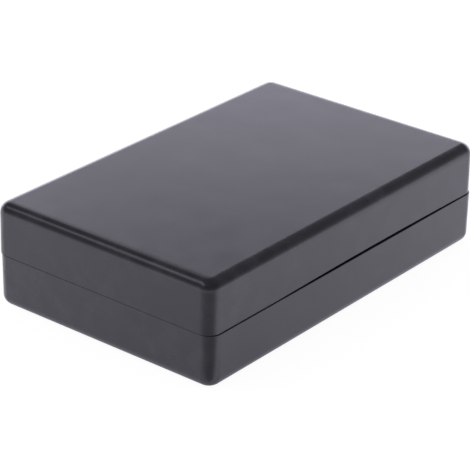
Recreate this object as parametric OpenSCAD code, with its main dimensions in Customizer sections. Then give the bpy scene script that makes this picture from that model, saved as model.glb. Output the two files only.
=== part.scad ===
// Two-part plastic project box for a small circuit board.
// Both halves are drafted mouldings that meet at a parting line halfway up.
// The base has a raised lip, four screw pillars and four board posts. The cover has
// the rebate that takes the lip, and four screw bosses. The screws enter from below.
// X runs along the box, Y across it and Z up. The origin is the centre of the underside.

/* [Outside] */
// Length of each half at the parting line
box_l = 124.8; // [100:0.2:200]
// Width of each half at the parting line
box_w = 79.4; // [70:0.2:140]
// Height of the base, from the underside to the parting line
base_h = 16.3; // [13:0.1:19]
// Height of the cover, from the parting line to the top
cover_h = 15.7; // [13:0.1:30]
// Radius of the four upright corners at the parting line
corner_r = 4.2; // [4:0.1:8]
// Radius of the rounded edge round the cover's top
top_edge_r = 3.4; // [1:0.1:4]
// Radius of the rounded edge round the underside
bottom_edge_r = 3.2; // [1:0.1:4]
// Draft of the side walls, in degrees
draft = 0.4; // [0.2:0.1:1]

/* [Walls] */
// Thickness of the side walls
wall = 2.5; // [2.4:0.1:3]
// Thickness of the base's floor
floor_t = 2.2; // [1.6:0.1:3]
// Thickness of the cover's top
top_t = 2.2; // [1.6:0.1:3]
// Radius where the walls meet the floor or the top inside
inner_edge_r = 0.8; // [0.3:0.1:1.5]

/* [Parting line] */
// Rounding of the base's outer rim
rim_round = 0.2; // [0.1:0.05:0.4]
// Thickness of the lip that stands up from the base
lip_t = 0.9; // [0.6:0.1:1]
// Height of the lip above the parting line
lip_h = 1.8; // [1:0.1:3]
// Play between the lip and the cover's rebate, on every side
lip_play = 0.45; // [0.3:0.05:0.6]
// Play left on the front side, to which the base has been pushed
push_clear = 0.1; // [0.05:0.05:0.25]
// Gap between the two rims, where the screws pull the pillars together instead
rim_gap = 0.06; // [0.04:0.02:0.3]
// Extra gap where the cover's front wall has bowed up
bow_gap = 0.58; // [0.1:0.02:1]
// Where along the box that gap is widest
bow_mid = 12; // [-20:1:20]
// Distance over which that gap closes again, each way
bow_reach = 50; // [20:1:55]

/* [Screws] */
// Distance of each screw from the outer faces at its corner
post_inset = 8.75; // [8.5:0.25:12]
// Thread radius of the case screws
screw_r = 1.45; // [1.2:0.05:1.6]
// Length of the case screws under the head
screw_len = 20; // [17:0.5:22]
// Head radius of the case screws
head_r = 2.8; // [2.5:0.1:3]
// Head height of the case screws
head_h = 1.9; // [1.4:0.1:2.4]
// Depth of the screw recesses in the underside, down to the seat of the head
seat_z = 5; // [4:0.5:7]
// Radius of the pilot holes in the cover's bosses
pilot_r = 1.2; // [1:0.05:1.25]
// Depth left past the tip of each screw
pilot_spare = 1.8; // [0.5:0.1:2]
// Wall round the screw recesses, which sets the pillars' radius
pillar_wall = 1.2; // [1:0.1:1.5]
// Radius of the cover's bosses
boss_r = 3.4; // [2.8:0.1:4]
// Thickness of the webs that tie pillars and bosses to the walls
web_t = 1.2; // [0.8:0.1:2]

/* [Board posts] */
// Spacing of the board posts along the box
board_x = 88; // [40:1:90]
// Spacing of the board posts across the box
board_y = 54; // [30:1:58]
// Height of the board posts above the floor
board_post_h = 5; // [3:0.5:8]
// Radius of the board posts
board_post_r = 2.75; // [2.2:0.05:3.5]
// Radius of the board posts' pilot holes
board_pilot_r = 1.1; // [0.8:0.05:1.4]
// Size of the cone at each board post's root
root = 0.8; // [0.4:0.1:1.5]

/* [Hidden] */
$fn = 64;
shell_colour = "#2a2a2d";
steel_colour = "#b9bcc0";
arc_steps = 9;                            // straight steps in each rounded edge
near_steps = 3;                           // and in the rim's small one
over = 1;                                 // how far a cut runs past a face
sink = 0.5;                               // how far a web or post is let into its wall
lip_round = 0.4;                          // rounding of the lip's top edge
lip_room = 0.3;                           // room above the lip
core_clear = 0.05;                        // between a screw's core and its pilot hole
web_drop = 1.5;                           // how far the webs stop short of the lip's zone
bow_steps = 3600;                         // steps round the bow's very long arc
head_round = 0.7;                         // height of the rounded part of a screw's head
cross_l = 3;                              // length, width and depth of its cross recess
cross_t = 0.8;
cross_d = 1.3;
tip_l = 2;                                // length of the screw's point
box_h = base_h + cover_h;
push = lip_play - push_clear;             // how far the base stands out at the front
base_y = -push / 2;                       // middle of the base
cover_y = push / 2;                       // middle of the cover and of the screws
rim_z = base_h + rim_gap;                 // the cover's rim
rebate_z = base_h + lip_h + lip_room;     // the end of the cover's rebate
skin = wall - lip_t - lip_play;           // the cover's wall outside the rebate
hole_r = screw_r + lip_play;              // screw holes let the halves shift
recess_r = head_r + lip_play;
pillar_r = recess_r + pillar_wall;
core_r = pilot_r - core_clear;
engage = screw_len - (base_h - seat_z);   // length of screw in the boss
bow_r = (bow_reach * bow_reach + bow_gap * bow_gap) / (2 * bow_gap);

// The four corners of a rectangle, anticlockwise from the first quadrant
function four(dx, dy) = [[dx, dy], [-dx, dy], [-dx, -dy], [dx, -dy]];

// The outer line of a drafted section: round the near edge, up the leaning wall and
// round the far edge
function side(half, h, edge, near) =
    let (near_x = half - near * (1 + sin(draft)) / cos(draft))
    let (mid_z = h - edge)
    let (mid_x = half - mid_z * tan(draft) - edge / cos(draft))
    concat(
        near > 0 ? arc(near_x, near, near, -90, draft, near_steps) : [[half, 0]],
        arc(mid_x, mid_z, edge, draft, 90, arc_steps)
    );

// Points along an arc, from one angle to another
function arc(x, z, r, from, to, steps) =
    [for (i = [0 : steps])
        let (a = from + (to - from) * i / steps)
        [x + r * cos(a), z + r * sin(a)]];

// A block whose sides and corners all have the same edge section, drawn from the
// corner's centre out: it is turned round each corner and runs along each side.
module block(l, w, h, corner, edge) {
    mid_x = l / 2 - corner;
    mid_y = w / 2 - corner;
    translate([-mid_x, -mid_y, 0]) cube([2 * mid_x, 2 * mid_y, h]);
    for (i = [0 : 3])
        translate(four(mid_x, mid_y)[i]) rotate([0, 0, 90 * i]) {
            rotate_extrude(angle = 90) polygon(edge);
            rotate([90, 0, 0]) linear_extrude(i % 2 == 0 ? 2 * mid_y : 2 * mid_x) polygon(edge);
        }
}

// A tray form: drafted walls, cones at the corners and a rounded far edge
module drafted_block(l, w, h, corner, edge, near) {
    block(l, w, h, corner, concat([[0, 0]], side(corner, h, edge, near), [[0, h]]));
}

// A plain upright block with round corners
module straight_block(l, w, h, corner) {
    block(l, w, h, corner, [[0, 0], [corner, 0], [corner, h], [0, h]]);
}

// A half's outline, or one set in from it by a distance
module inset_drafted(d, h, edge, near = 0) {
    drafted_block(box_l - 2 * d, box_w - 2 * d, h, corner_r - d, edge, near);
}

module inset_straight(d, h) {
    straight_block(box_l - 2 * d, box_w - 2 * d, h, corner_r - d);
}

// Draws its child at the four screw places, turned so that +X and +Y face the walls
module at_posts() {
    places = four(box_l / 2 - post_inset, box_w / 2 - post_inset);
    for (i = [0 : 3]) translate(places[i]) rotate([0, 0, 90 * i]) children();
}

// Draws its child at the four board posts
module at_board_posts() {
    for (p = four(board_x / 2, board_y / 2)) translate(p) children();
}

// The two webs that tie a post to the walls beside it
module webs(z0, z1) {
    for (turn = [0, 90]) rotate([0, 0, turn])
        translate([0, -web_t / 2, z0]) cube([post_inset - wall + sink, web_t, z1 - z0]);
}

// The base's outer form with its lip, before it is hollowed
module base_solid() {
    translate([0, 0, base_h]) {
        mirror([0, 0, 1]) inset_drafted(0, base_h, bottom_edge_r, rim_round);
        inset_drafted(wall - lip_t, lip_h, lip_round);
    }
}

module base_hollow() {
    translate([0, 0, base_h]) {
        mirror([0, 0, 1]) inset_drafted(wall, base_h - floor_t, inner_edge_r);
        inset_straight(wall, lip_h + over);
    }
}

module screw_pillar() {
    translate([0, 0, floor_t - sink]) cylinder(r = pillar_r, h = base_h - floor_t + sink);
    webs(floor_t - sink, base_h - web_drop);
}

// The hole for a screw, with the recess for its head
module screw_hole() {
    translate([0, 0, -over]) {
        cylinder(r = hole_r, h = base_h + 2 * over);
        cylinder(r = recess_r, h = seat_z + over);
    }
}

module board_post() {
    translate([0, 0, floor_t - sink]) {
        cylinder(r = board_post_r, h = board_post_h + sink);
        cylinder(r1 = board_post_r + root + sink, r2 = board_post_r, h = root + sink);
    }
}

module base_shell() {
    color(shell_colour) translate([0, base_y, 0]) difference() {
        union() {
            difference() {
                base_solid();
                base_hollow();
            }
            at_posts() screw_pillar();
            at_board_posts() board_post();
        }
        at_posts() screw_hole();
        at_board_posts()
            translate([0, 0, floor_t]) cylinder(r = board_pilot_r, h = board_post_h + over);
    }
}

// What the cover's front rim loses where its wall has bowed up: a long shallow arc
module bow() {
    translate([bow_mid, skin + lip_play / 2 - box_w / 2, rim_z + bow_gap - bow_r])
        rotate([90, 0, 0]) cylinder(r = bow_r, h = wall, $fn = bow_steps);
}

module screw_boss() {
    translate([0, 0, base_h]) cylinder(r = boss_r, h = cover_h - top_t + sink);
    webs(rebate_z + web_drop, box_h - top_t + sink);
}

module cover_shell() {
    color(shell_colour) translate([0, cover_y, 0]) difference() {
        union() {
            difference() {
                translate([0, 0, rim_z]) inset_drafted(0, box_h - rim_z, top_edge_r);
                translate([0, 0, rim_z]) inset_drafted(wall, box_h - top_t - rim_z, inner_edge_r);
                translate([0, 0, base_h - over]) inset_straight(skin, rebate_z - base_h + over);
                bow();
            }
            at_posts() screw_boss();
        }
        at_posts()
            translate([0, 0, base_h - over]) cylinder(r = pilot_r, h = engage + pilot_spare + over);
    }
}

// One pan-head screw, head down, with a cross recess; the thread's crests aren't drawn
module screw() {
    difference() {
        translate([0, 0, seat_z - head_h]) {
            cylinder(r1 = head_r - head_round, r2 = head_r, h = head_round);
            translate([0, 0, head_round]) cylinder(r = head_r, h = head_h - head_round);
        }
        for (turn = [0, 90]) rotate([0, 0, turn])
            translate([-cross_l / 2, -cross_t / 2, seat_z - head_h - over])
                cube([cross_l, cross_t, cross_d + over]);
    }
    translate([0, 0, seat_z]) cylinder(r = core_r, h = screw_len - tip_l);
    translate([0, 0, seat_z + screw_len - tip_l]) cylinder(r1 = core_r, r2 = core_r / 4, h = tip_l);
}

module case_screws() {
    color(steel_colour) translate([0, cover_y, 0]) at_posts() screw();
}

base_shell();
cover_shell();
case_screws();
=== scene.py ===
import math
import random

import bmesh
import bpy
from mathutils import Matrix, Vector


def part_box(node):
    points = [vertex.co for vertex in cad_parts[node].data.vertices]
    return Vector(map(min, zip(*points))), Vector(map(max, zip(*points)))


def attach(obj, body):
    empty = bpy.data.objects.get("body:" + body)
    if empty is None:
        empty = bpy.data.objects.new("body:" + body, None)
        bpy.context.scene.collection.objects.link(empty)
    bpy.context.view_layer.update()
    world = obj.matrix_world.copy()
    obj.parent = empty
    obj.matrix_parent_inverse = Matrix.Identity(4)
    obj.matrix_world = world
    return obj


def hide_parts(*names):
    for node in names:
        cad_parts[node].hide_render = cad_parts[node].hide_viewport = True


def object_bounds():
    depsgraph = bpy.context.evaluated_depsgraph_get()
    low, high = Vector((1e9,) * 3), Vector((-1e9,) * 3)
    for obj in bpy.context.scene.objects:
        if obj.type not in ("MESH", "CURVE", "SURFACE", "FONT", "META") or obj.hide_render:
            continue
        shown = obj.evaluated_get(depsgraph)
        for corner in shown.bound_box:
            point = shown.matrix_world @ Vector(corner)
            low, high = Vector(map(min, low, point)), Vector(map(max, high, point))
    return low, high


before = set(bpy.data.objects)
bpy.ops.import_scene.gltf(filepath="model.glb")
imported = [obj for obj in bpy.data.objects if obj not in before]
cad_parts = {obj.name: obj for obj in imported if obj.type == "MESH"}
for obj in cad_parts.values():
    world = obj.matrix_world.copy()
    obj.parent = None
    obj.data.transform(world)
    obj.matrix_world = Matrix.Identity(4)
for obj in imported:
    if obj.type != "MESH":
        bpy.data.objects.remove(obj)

cad_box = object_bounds()
MM = 0.001

# Camera: where it looks from, in degrees, how far off and how far aside, in metres, and its lens
# and sensor in millimetres. A fitting program found the uneven numbers.
CAMERA_AZIMUTH = -51.386
CAMERA_ELEVATION = 25.903
CAMERA_ROLL = 1.063
CAMERA_DISTANCE = 0.66214
CAMERA_LENS = 173.1
CAMERA_SIDEWAYS = -0.0022072
CAMERA_UPWARDS = -0.0041282
SENSOR = 36.0
CLIP_NEAR = 0.01
CLIP_FAR = 50.0

# The plastic: linear colours, the gloss's roughness, and heights of the bumps in metres.
# A scale is how many of the noise's cells go into a metre.
PLASTIC_DARK = (0.0075, 0.0075, 0.0100, 1)
PLASTIC_LIGHT = (0.0165, 0.0165, 0.0200, 1)
PLASTIC_DUST = (0.031, 0.031, 0.034, 1)
PLASTIC_ROUGH = (0.226, 0.272)  # 0.225 to 0.285 gives specks
PLASTIC_IOR = 1.54
CLOUD_SCALE = 90.0
DUST_SCALE = 170.0
DUST_RANGE = (0.44, 0.64)
HANDLED_SCALE = 30.0
HANDLED_RANGE = (0.4, 0.6)
HANDLED_LEAST = 0.2
GLOSS_SCALE = 120.0
GRAIN_SCALE = 4500.0
GRAIN_HEIGHT = 0.0025 * MM
WAVE_SCALE = 70.0
WAVE_HEIGHT = 0.04 * MM

# The zinc on the screws
ZINC_DARK = (0.58, 0.6, 0.62, 1)
ZINC_LIGHT = (0.7, 0.71, 0.71, 1)
ZINC_ROUGH = (0.24, 0.4)
ZINC_CLOUD_SCALE = 900.0
ZINC_GLOSS_SCALE = 2500.0
ZINC_GRAIN_SCALE = 6000.0
ZINC_GRAIN_HEIGHT = 0.006 * MM

# Shading: edges sharper than this many degrees stay sharp
SHELL_SHARP = 32
SCREW_SHARP = 30
NORMAL_WEIGHT = 50
WELD_REACH = 0.001 * MM

# The case screws, in metres. The head's profile is in shares of its radius and its height.
HEAD_R = 2.8 * MM
HEAD_H = 1.9 * MM
CORE_R = 1.08 * MM
CREST_R = 1.45 * MM
PITCH = 1.06 * MM
POINT_L = 2.0 * MM
RECESS_L = 3.0 * MM
RECESS_W = 0.8 * MM
RECESS_D = 1.3 * MM
SCREW_STEPS = 32
SCREW_SEED = 5
THREAD_PHASES = (0.0, 0.5, 0.75)  # rows in a pitch: root, root and crest
HEAD_PROFILE = (
    (0.55, 0.03),
    (0.80, 0.12),
    (0.93, 0.23),
    (0.99, 0.38),
    (1.00, 0.50),
    (1.00, 0.95),
    (0.98, 1.00),
)
NECK_FLARE = 0.10
POINT_SHARE = 0.25
CREST_FADE = 1.6
RECESS_FOOT_L = 0.42
RECESS_FOOT_W = 0.75
RECESS_OVER = 0.5 * MM
DOUBLES_REACH = 0.002 * MM
SLIVER_REACH = 0.001 * MM

# The stage: a floor that is white to the camera, and a studio dim above its bright horizon
WHITE = (1, 1, 1, 1)
LIGHT_COLOUR = (0.975, 0.955, 1.09)
BACK_COLOUR = (0.965, 0.94, 1.11)
FLOOR_SIZE = 40.0
FLOOR_DROP = 0.1 * MM
FLOOR_COLOUR = (0.45, 0.45, 0.45, 1)
FLOOR_SHADOW = (0.2, 0.2, 0.2, 1)
FLOOR_WHITE = 0.94

# The floor as the plastic mirrors it, with light and shade painted in, so it is shaped and not
# plain.
# Its level is a painted pool of light that rises by the metre away from the front corner, a
# painted shade wedge lies before that corner with a painted highlight rim beside it, in radians
# about the corner, and a painted contact shadow darkens it where it comes within reach of the
# object.
# A fitting program set the uneven numbers from FLOOR_NEAR down to PANELS.
# The painted contact shadow
CONTACT_REACH = 3.5 * MM
CONTACT_POWER = 0.4
CONTACT_SAMPLES = 8
# The painted pool of light
FLOOR_NEAR = 0.8621
FLOOR_RISE = 2.233
FLOOR_FAR = 1.295
# The painted shade wedge
SHADE_DEPTH = 0.4585
SHADE_TURN = 0.01235
SHADE_WIDTH = 1.058
SHADE_POWER = 5.0
# The painted highlight rim
RIM_GLOW = 0.5762
RIM_TURN = 1.165
RIM_WIDTH = 0.4159
RIM_POWER = 2.0

# The studio: its level overhead, and its horizon's extra level and how high that reaches
AMBIENT = 0.2892
GLOW = 1.375
GLOW_HEIGHT = 0.1332

# The soft panels: name, azimuth, elevation, width, height, radiance, colour
PANEL_DISTANCE = 2.0
PANELS = (
    ("back_panel", 39.2, 13.0, 4.64, 0.833, 1.59, BACK_COLOUR),
    ("high_panel", 57.2, 33.1, 0.639, 0.608, 0.872, BACK_COLOUR),
    ("left_panel", 140.8, 48.1, 1.4, 0.467, 1.67, LIGHT_COLOUR),
)


# ---------------------------------------------------------------- camera


def add_camera():
    azimuth = math.radians(CAMERA_AZIMUTH)
    elevation = math.radians(CAMERA_ELEVATION)
    roll = math.radians(CAMERA_ROLL)
    back = Vector(
        (
            math.sin(azimuth) * math.cos(elevation),
            -math.cos(azimuth) * math.cos(elevation),
            math.sin(elevation),
        )
    )
    level = (-back).cross(Vector((0, 0, 1))).normalized()
    upright = level.cross(-back)
    right = level * math.cos(roll) + upright * math.sin(roll)
    up = upright * math.cos(roll) - level * math.sin(roll)
    low, high = (Vector(c) for c in cad_box)
    place = (low + high) / 2 + back * CAMERA_DISTANCE
    place += right * CAMERA_SIDEWAYS + up * CAMERA_UPWARDS
    data = bpy.data.cameras.new("camera")
    data.lens = CAMERA_LENS
    data.sensor_width = SENSOR
    data.clip_start = CLIP_NEAR
    data.clip_end = CLIP_FAR
    camera = bpy.data.objects.new("camera", data)
    bpy.context.scene.collection.objects.link(camera)
    camera.matrix_world = Matrix(
        (
            (right.x, up.x, back.x, place.x),
            (right.y, up.y, back.y, place.y),
            (right.z, up.z, back.z, place.z),
            (0, 0, 0, 1),
        )
    )
    bpy.context.scene.camera = camera


# ---------------------------------------------------------------- materials


def new_material(name):
    material = bpy.data.materials.new(name)
    material.use_nodes = True
    tree = material.node_tree
    return material, tree, tree.nodes["Principled BSDF"]


def add(tree, kind, inputs=None, **settings):
    node = tree.nodes.new(kind)
    for name, value in settings.items():
        setattr(node, name, value)
    for name, value in (inputs or {}).items():
        if isinstance(value, bpy.types.NodeSocket):
            tree.links.new(value, node.inputs[name])
        else:
            node.inputs[name].default_value = value
    return node


def mix_colours(tree, share, first, second):
    """A colour that goes from the first to the second as the share goes from 0 to 1."""
    inputs = {"Factor": share, "A": first, "B": second}
    return add(tree, "ShaderNodeMix", inputs, data_type="RGBA").outputs["Result"]


def bump(tree, height, distance, normal=None):
    inputs = {"Height": height, "Strength": 1.0, "Distance": distance}
    if normal is not None:
        inputs["Normal"] = normal
    return add(tree, "ShaderNodeBump", inputs).outputs["Normal"]


def noise(tree, place, scale, detail=3.0, rough=0.5):
    inputs = {"Vector": place, "Scale": scale, "Detail": detail, "Roughness": rough}
    return add(tree, "ShaderNodeTexNoise", inputs).outputs["Fac"]


def spread(tree, value, low, high, start=0.3, end=0.7):
    """Maps a noise's middle range onto low to high."""
    inputs = {
        "Value": value,
        "From Min": start,
        "From Max": end,
        "To Min": low,
        "To Max": high,
    }
    return add(tree, "ShaderNodeMapRange", inputs).outputs["Result"]


def maths(tree, operation, first, second=0.0):
    node = add(tree, "ShaderNodeMath", {0: first, 1: second}, operation=operation)
    return node.outputs[0]


def black_plastic():
    """Satin black plastic with cloudy colour, faint dusty smudges and an uneven gloss."""
    material, tree, shader = new_material("black_plastic")
    place = add(tree, "ShaderNodeTexCoord").outputs["Object"]
    clouds = spread(tree, noise(tree, place, CLOUD_SCALE, detail=5.0, rough=0.65), 0.0, 1.0)
    colour = mix_colours(tree, clouds, PLASTIC_DARK, PLASTIC_LIGHT)
    specks = noise(tree, place, DUST_SCALE, detail=5.0, rough=0.62)
    dust = spread(tree, specks, 0.0, 1.0, *DUST_RANGE)
    touches = noise(tree, place, HANDLED_SCALE, detail=1.0)
    handled = spread(tree, touches, HANDLED_LEAST, 1.0, *HANDLED_RANGE)
    colour = mix_colours(tree, maths(tree, "MULTIPLY", dust, handled), colour, PLASTIC_DUST)
    tree.links.new(colour, shader.inputs["Base Color"])
    gloss = noise(tree, place, GLOSS_SCALE, detail=5.0, rough=0.6)
    tree.links.new(spread(tree, gloss, *PLASTIC_ROUGH), shader.inputs["Roughness"])
    grain = bump(tree, noise(tree, place, GRAIN_SCALE, detail=2.0), GRAIN_HEIGHT)
    waves = bump(tree, noise(tree, place, WAVE_SCALE, detail=2.0), WAVE_HEIGHT, grain)
    tree.links.new(waves, shader.inputs["Normal"])
    shader.inputs["IOR"].default_value = PLASTIC_IOR
    return material


def zinc_plate():
    """Bright zinc plate, a little cloudy."""
    material, tree, shader = new_material("zinc_plate")
    place = add(tree, "ShaderNodeTexCoord").outputs["Object"]
    clouds = spread(tree, noise(tree, place, ZINC_CLOUD_SCALE, detail=4.0), 0.0, 1.0)
    tree.links.new(mix_colours(tree, clouds, ZINC_DARK, ZINC_LIGHT), shader.inputs["Base Color"])
    gloss = noise(tree, place, ZINC_GLOSS_SCALE)
    tree.links.new(spread(tree, gloss, *ZINC_ROUGH), shader.inputs["Roughness"])
    grain = noise(tree, place, ZINC_GRAIN_SCALE, detail=2.0)
    tree.links.new(bump(tree, grain, ZINC_GRAIN_HEIGHT), shader.inputs["Normal"])
    shader.inputs["Metallic"].default_value = 1.0
    return material


# ---------------------------------------------------------------- shells


def shade(thing, sharp_angle):
    """Shades a thing's curves as smooth and keeps its edges sharp above an angle."""
    for face in thing.data.polygons:
        face.use_smooth = True
    split = thing.modifiers.new("split", "EDGE_SPLIT")
    split.split_angle = math.radians(sharp_angle)
    split.use_edge_sharp = False
    normals = thing.modifiers.new("normals", "WEIGHTED_NORMAL")
    normals.mode = "FACE_AREA"
    normals.weight = NORMAL_WEIGHT


def dress_shell(shell, material):
    """Gives a CAD shell its finish, and shades its rounded edges as smooth."""
    shell.data.materials.clear()
    shell.data.materials.append(material)
    weld = shell.modifiers.new("weld", "WELD")
    weld.merge_threshold = WELD_REACH
    shade(shell, SHELL_SHARP)


# ---------------------------------------------------------------- screws


def ring(mesh, radius, z):
    """A ring of vertices about the Z axis."""
    spots = []
    for i in range(SCREW_STEPS):
        angle = 2 * math.pi * i / SCREW_STEPS
        x = radius * math.cos(angle)
        y = radius * math.sin(angle)
        spots.append(mesh.verts.new((x, y, z)))
    return spots


def skin(mesh, lower, upper):
    """Joins two rings, or a ring and the pole that closes it."""
    steps = max(len(lower), len(upper))
    for i in range(steps):
        j = (i + 1) % steps
        if len(lower) == 1:
            mesh.faces.new((lower[0], upper[j], upper[i]))
        elif len(upper) == 1:
            mesh.faces.new((lower[i], lower[j], upper[0]))
        else:
            mesh.faces.new((lower[i], lower[j], upper[j], upper[i]))


def add_head(mesh, foot, seat):
    """The pan head, from the middle of its outer face round to the neck."""
    outline = [(HEAD_R * r, foot + HEAD_H * z) for r, z in HEAD_PROFILE]
    outline.append(((1 + NECK_FLARE) * CORE_R, seat))
    outline.append((CORE_R, seat + NECK_FLARE * CORE_R))
    last = [mesh.verts.new((0, 0, foot))]
    for radius, z in outline:
        following = ring(mesh, radius, z)
        skin(mesh, last, following)
        last = following


def thread_radius(z, crest, start, end):
    """The core's or the crest's radius at a height, run out at both ends."""
    run_in = min(1.0, max(0.0, (z - start) / PITCH))
    point = min(1.0, max(0.0, (end - z) / POINT_L))
    core = CORE_R * (POINT_SHARE + (1 - POINT_SHARE) * point)
    if not crest:
        return core
    depth = (CREST_R - CORE_R) * run_in * min(1.0, CREST_FADE * point)
    return core + depth


def add_thread(mesh, start, end):
    """One helical surface: its rows climb a pitch in each turn, so the crest is sharp."""
    rows = len(THREAD_PHASES)
    turns = math.ceil((end - start) / PITCH) + 2
    grid = []
    for i in range(SCREW_STEPS):
        angle = 2 * math.pi * i / SCREW_STEPS
        column = []
        for k in range(turns * rows):
            share = k // rows + THREAD_PHASES[k % rows] + i / SCREW_STEPS - 1
            z = min(end, max(start, start + PITCH * share))
            radius = thread_radius(z, k % rows == rows - 1, start, end)
            x = radius * math.cos(angle)
            y = radius * math.sin(angle)
            column.append(mesh.verts.new((x, y, z)))
        grid.append(column)
    for i in range(SCREW_STEPS):
        lift = rows if i == SCREW_STEPS - 1 else 0
        here = grid[i]
        beside = grid[(i + 1) % SCREW_STEPS]
        for k in range(turns * rows - 1 - lift):
            corners = (here[k], beside[k + lift], beside[k + lift + 1], here[k + 1])
            mesh.faces.new(corners)


def screw_body(foot, tip):
    """The screw before its recess is cut, on the Z axis with its head down."""
    seat = foot + HEAD_H
    start = seat + NECK_FLARE * CORE_R
    mesh = bmesh.new()
    add_head(mesh, foot, seat)
    add_thread(mesh, start, tip)
    end = ring(mesh, thread_radius(tip, False, start, tip), tip)
    skin(mesh, end, [mesh.verts.new((0, 0, tip))])
    bmesh.ops.remove_doubles(mesh, verts=mesh.verts, dist=DOUBLES_REACH)
    bmesh.ops.dissolve_degenerate(mesh, edges=mesh.edges, dist=SLIVER_REACH)
    bmesh.ops.recalc_face_normals(mesh, faces=mesh.faces)
    return mesh


def recess_wing(turn):
    """One bar of the cross-shaped cutter, narrower at the bottom of the recess."""
    mesh = bmesh.new()
    bmesh.ops.create_cube(mesh, size=1)
    for corner in mesh.verts:
        deep = corner.co.z > 0
        length = RECESS_L * (RECESS_FOOT_L if deep else 1.0)
        width = RECESS_W * (RECESS_FOOT_W if deep else 1.0)
        corner.co.x *= length
        corner.co.y *= width
        corner.co.z = RECESS_D if deep else -RECESS_OVER
    bmesh.ops.rotate(mesh, verts=mesh.verts, matrix=Matrix.Rotation(turn, 3, "Z"))
    return mesh


def as_object(mesh, name):
    data = bpy.data.meshes.new(name)
    mesh.to_mesh(data)
    mesh.free()
    thing = bpy.data.objects.new(name, data)
    bpy.context.scene.collection.objects.link(thing)
    return thing


def cut(thing, cutter):
    """Takes the cutter's shape out of a thing, and throws the cutter away."""
    modifier = thing.modifiers.new("cut", "BOOLEAN")
    modifier.operation = "DIFFERENCE"
    modifier.solver = "EXACT"
    modifier.object = cutter
    depsgraph = bpy.context.evaluated_depsgraph_get()
    result = bpy.data.meshes.new_from_object(thing.evaluated_get(depsgraph))
    thing.modifiers.clear()
    thing.data = result
    bpy.data.objects.remove(cutter)


def add_screws(material):
    """Four threaded screws in place of the CAD's plain ones, each at its own turn."""
    low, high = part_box("case_screws")
    one = as_object(screw_body(0, high.z - low.z), "screw_form")
    for turn in (0, math.pi / 2):
        cut(one, as_object(recess_wing(turn), "recess_form"))
    draw = random.Random(SCREW_SEED)
    group = bmesh.new()
    for x in (low.x + HEAD_R, high.x - HEAD_R):
        for y in (low.y + HEAD_R, high.y - HEAD_R):
            part = one.data.copy()
            turn = Matrix.Rotation(draw.uniform(0, math.pi), 4, "Z")
            part.transform(Matrix.Translation((x, y, low.z)) @ turn)
            group.from_mesh(part)
            bpy.data.meshes.remove(part)
    bpy.data.objects.remove(one)
    screws = as_object(group, "threaded_screws")
    screws.data.materials.append(material)
    shade(screws, SCREW_SHARP)
    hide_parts("case_screws")
    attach(screws, "base")


# ---------------------------------------------------------------- stage


def seen_directly(tree):
    """1 for the camera's own rays, and 0 for light that reaches the object."""
    return add(tree, "ShaderNodeLightPath").outputs["Is Camera Ray"]


def seen_in_gloss(tree):
    """1 for rays that a glossy or clear surface sends on."""
    path = add(tree, "ShaderNodeLightPath")
    return maths(
        tree, "MAXIMUM", path.outputs["Is Glossy Ray"], path.outputs["Is Transmission Ray"]
    )


def bell(tree, value, middle, width, power):
    """1 where a value is at the middle, and 0 well beyond the width on either side."""
    off = maths(tree, "ABSOLUTE", maths(tree, "SUBTRACT", value, middle))
    share = maths(tree, "POWER", maths(tree, "DIVIDE", off, width), power)
    return maths(tree, "EXPONENT", maths(tree, "MULTIPLY", share, -1.0))


def painted_floor_reflection(tree):
    """How bright the floor looks in a gloss, as painted light and shade. A painted pool of light
    gets brighter away from the front corner, and a painted shade wedge before that corner is
    darker, with a painted highlight rim on one side and a painted contact shadow near the object."""
    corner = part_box("base_shell")[0]
    place = add(tree, "ShaderNodeNewGeometry").outputs["Position"]
    inputs = {0: place, 1: (corner.x, corner.y, 0)}
    way = add(tree, "ShaderNodeVectorMath", inputs, operation="SUBTRACT").outputs[0]
    ahead = add(tree, "ShaderNodeVectorMath", {0: way, 1: (-1, -1, 0)}, operation="DOT_PRODUCT")
    aside = add(tree, "ShaderNodeVectorMath", {0: way, 1: (1, -1, 0)}, operation="DOT_PRODUCT")
    turn = maths(tree, "ARCTAN2", aside.outputs["Value"], ahead.outputs["Value"])
    reach = add(tree, "ShaderNodeVectorMath", {0: way}, operation="LENGTH").outputs["Value"]
    # A painted pool of light: the level rises away from the front corner, up to a cap.
    level = maths(tree, "ADD", maths(tree, "MULTIPLY", reach, FLOOR_RISE), FLOOR_NEAR)
    level = maths(tree, "MINIMUM", level, FLOOR_FAR)
    # A painted shade wedge before the front corner.
    painted_shade_wedge = bell(tree, turn, SHADE_TURN, SHADE_WIDTH, SHADE_POWER)
    # A painted highlight rim beside the wedge.
    side = bell(tree, turn, RIM_TURN, RIM_WIDTH, RIM_POWER)
    level = maths(tree, "ADD", level, maths(tree, "MULTIPLY", side, RIM_GLOW))
    level = maths(tree, "SUBTRACT", level, maths(tree, "MULTIPLY", painted_shade_wedge, SHADE_DEPTH))
    # A painted contact shadow where the floor comes within reach of the object.
    inputs = {"Distance": CONTACT_REACH}
    painted_contact_shadow = add(tree, "ShaderNodeAmbientOcclusion", inputs, samples=CONTACT_SAMPLES)
    near = maths(tree, "POWER", painted_contact_shadow.outputs["AO"], CONTACT_POWER)
    return maths(tree, "MULTIPLY", level, near)


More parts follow.
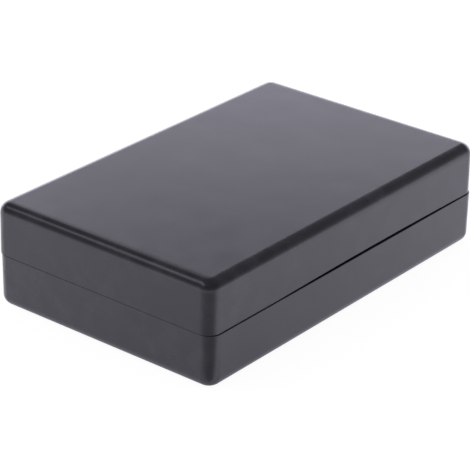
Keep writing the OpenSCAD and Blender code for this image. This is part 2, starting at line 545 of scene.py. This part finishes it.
def add_floor():
    half = FLOOR_SIZE / 2
    mesh = bpy.data.meshes.new("floor")
    corners = [(-half, -half, 0), (half, -half, 0), (half, half, 0), (-half, half, 0)]
    mesh.from_pydata(corners, [], [(0, 1, 2, 3)])
    floor = bpy.data.objects.new("floor", mesh)
    bpy.context.scene.collection.objects.link(floor)
    floor.location.z = -FLOOR_DROP
    material, tree, shader = new_material("floor")
    shader.inputs["Roughness"].default_value = 1.0
    shader.inputs["Specular IOR Level"].default_value = 0.0
    direct = seen_directly(tree)
    # Glossy rays see the floor's painted light and shade.
    gloss = maths(tree, "MULTIPLY", seen_in_gloss(tree), painted_floor_reflection(tree))
    paper = mix_colours(tree, direct, FLOOR_COLOUR, FLOOR_SHADOW)
    tree.links.new(paper, shader.inputs["Base Color"])
    glow = mix_colours(tree, direct, (*LIGHT_COLOUR, 1), WHITE)
    tree.links.new(glow, shader.inputs["Emission Color"])
    lift = maths(tree, "ADD", maths(tree, "MULTIPLY", direct, FLOOR_WHITE), gloss)
    tree.links.new(lift, shader.inputs["Emission Strength"])
    mesh.materials.append(material)


def add_world():
    """White to the camera. For the object, in its gloss too, it is a dim studio with a bright
    horizon."""
    world = bpy.data.worlds.new("studio")
    bpy.context.scene.world = world
    world.use_nodes = True
    tree = world.node_tree
    background = tree.nodes["Background"]
    way = add(tree, "ShaderNodeTexCoord").outputs["Generated"]
    height = add(tree, "ShaderNodeSeparateXYZ", {"Vector": way}).outputs["Z"]
    fall = maths(tree, "MULTIPLY", maths(tree, "MAXIMUM", height, 0.0), -1 / GLOW_HEIGHT)
    glow = maths(tree, "MULTIPLY", maths(tree, "EXPONENT", fall), GLOW)
    studio = maths(tree, "ADD", glow, AMBIENT)
    strength = add(
        tree,
        "ShaderNodeMix",
        {"Factor": seen_directly(tree), "A": studio, "B": 1.0},
        data_type="FLOAT",
    )
    colour = mix_colours(tree, seen_directly(tree), (*LIGHT_COLOUR, 1), WHITE)
    tree.links.new(strength.outputs["Result"], background.inputs["Strength"])
    tree.links.new(colour, background.inputs["Color"])


def add_panel(name, azimuth, elevation, width, height, radiance, colour):
    """A flat soft light that faces the object. Azimuth is anticlockwise from +X."""
    turn = math.radians(azimuth)
    rise = math.radians(elevation)
    way = Vector(
        (
            math.cos(turn) * math.cos(rise),
            math.sin(turn) * math.cos(rise),
            math.sin(rise),
        )
    )
    data = bpy.data.lights.new(name, "AREA")
    data.shape = "RECTANGLE"
    data.size = width
    data.size_y = height
    data.color = colour
    data.energy = radiance * width * height * math.pi
    panel = bpy.data.objects.new(name, data)
    bpy.context.scene.collection.objects.link(panel)
    panel.location = way * PANEL_DISTANCE
    panel.rotation_mode = "QUATERNION"
    panel.rotation_quaternion = way.to_track_quat("Z", "Y")
    panel.visible_camera = False


# ---------------------------------------------------------------- build

bpy.context.scene.view_settings.view_transform = "Standard"
add_camera()
add_floor()
add_world()
for panel in PANELS:
    add_panel(*panel)
plastic = black_plastic()
for name in ("base_shell", "cover_shell"):
    dress_shell(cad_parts[name], plastic)
add_screws(zinc_plate())
